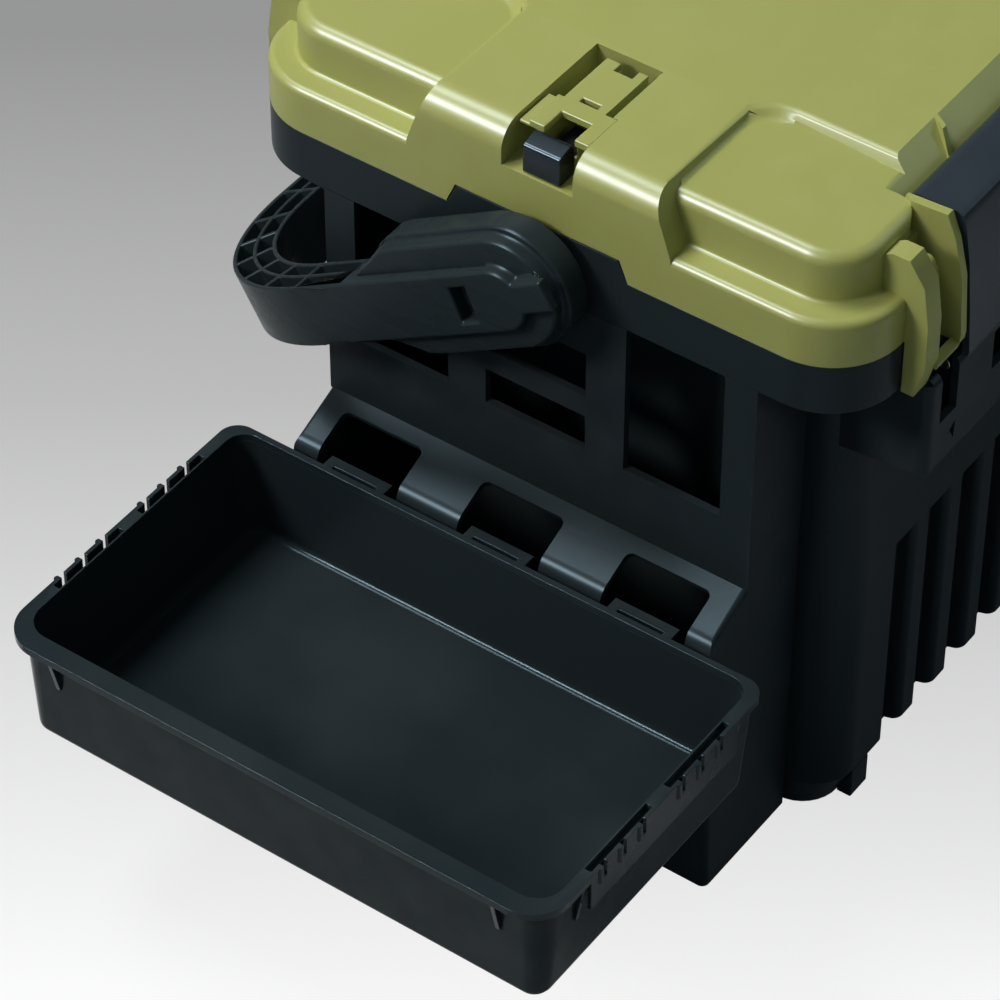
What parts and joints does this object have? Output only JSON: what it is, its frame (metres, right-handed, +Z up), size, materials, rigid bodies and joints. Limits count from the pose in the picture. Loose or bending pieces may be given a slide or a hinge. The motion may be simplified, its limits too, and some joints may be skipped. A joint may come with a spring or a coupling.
{
  "type": "fishing tackle cabinet",
  "caption": "Moulded tackle cabinet with a latched hinged lid, a U-shaped bail handle, windowed end pockets and a tray hung on one end.",
  "frame": {"origin": "centre of the tub's base, on the surface it stands on", "axes": "+Z up, +X along the long axis away from the side tray, -Y the front with the opening buckles"},
  "size_m": [0.5821, 0.2896, 0.2933],
  "materials": {
    "black_plastic": "satin moulded",
    "handle_plastic": "satin moulded",
    "tray_plastic": "semi-gloss moulded",
    "olive_plastic": "satin moulded",
    "steel": "drawn rod"
  },
  "bodies": {
    "cabinet": {"tub": "black_plastic", "corner_feet": "black_plastic", "rim_frame": "black_plastic", "end_box_near": "black_plastic", "end_box_far": "black_plastic", "catch_housings_front": "black_plastic", "catch_housings_rear": "black_plastic", "catch_rods_front": "steel", "catch_rods_rear": "steel", "handle_pivot_near": "handle_plastic", "handle_pivot_far": "handle_plastic", "inner_tray": "black_plastic", "inner_tray_dividers": "black_plastic"},
    "lid": {"lid_shell": "olive_plastic", "lid_stiffener": "olive_plastic", "lock_leaf_near": "olive_plastic", "lock_leaf_far": "olive_plastic", "lid_lugs_front": "olive_plastic", "lid_lugs_rear": "olive_plastic", "buckle_pins_front": "steel", "buckle_pins_rear": "steel", "buckle_rear_left": "black_plastic", "buckle_rear_right": "black_plastic"},
    "front_left_buckle": {"buckle_front_left": "black_plastic"},
    "front_right_buckle": {"buckle_front_right": "black_plastic"},
    "near_lock_catch": {"lock_catch_near": "black_plastic"},
    "far_lock_catch": {"lock_catch_far": "black_plastic"},
    "handle": {"handle_arm_near": "handle_plastic", "handle_arm_far": "handle_plastic", "handle_grip": "handle_plastic"},
    "side_tray": {"side_tray_pan": "tray_plastic", "side_tray_rim": "tray_plastic", "side_tray_hooks": "tray_plastic"}
  },
  "joints": [
    {"name": "lid_hinge", "type": "hinge", "parent": "cabinet", "child": "lid", "pos_m": [0, 0.1285, 0.2225], "axis": [-1, 0, 0], "range_deg": [0, 95]},
    {"name": "front_left_buckle_hinge", "type": "hinge", "parent": "lid", "child": "front_left_buckle", "pos_m": [-0.1016, -0.1156, 0.2856], "axis": [-1, 0, 0], "range_deg": [0, 100]},
    {"name": "front_right_buckle_hinge", "type": "hinge", "parent": "lid", "child": "front_right_buckle", "pos_m": [0.1016, -0.1156, 0.2856], "axis": [-1, 0, 0], "range_deg": [0, 100]},
    {"name": "near_lock_slide", "type": "slide", "parent": "lid", "child": "near_lock_catch", "axis": [-1, 0, 0], "range_m": [0, 0.0055]},
    {"name": "far_lock_slide", "type": "slide", "parent": "lid", "child": "far_lock_catch", "axis": [1, 0, 0], "range_m": [0, 0.0055]},
    {"name": "handle_swing", "type": "hinge", "parent": "cabinet", "child": "handle", "pos_m": [0, 0, 0.241], "axis": [1, 0, 0], "range_deg": [0, 242]},
    {"name": "side_tray_lift", "type": "slide", "parent": "cabinet", "child": "side_tray", "axis": [-0.5, 0, 0.866], "range_m": [0, 0.25]}
  ]
}
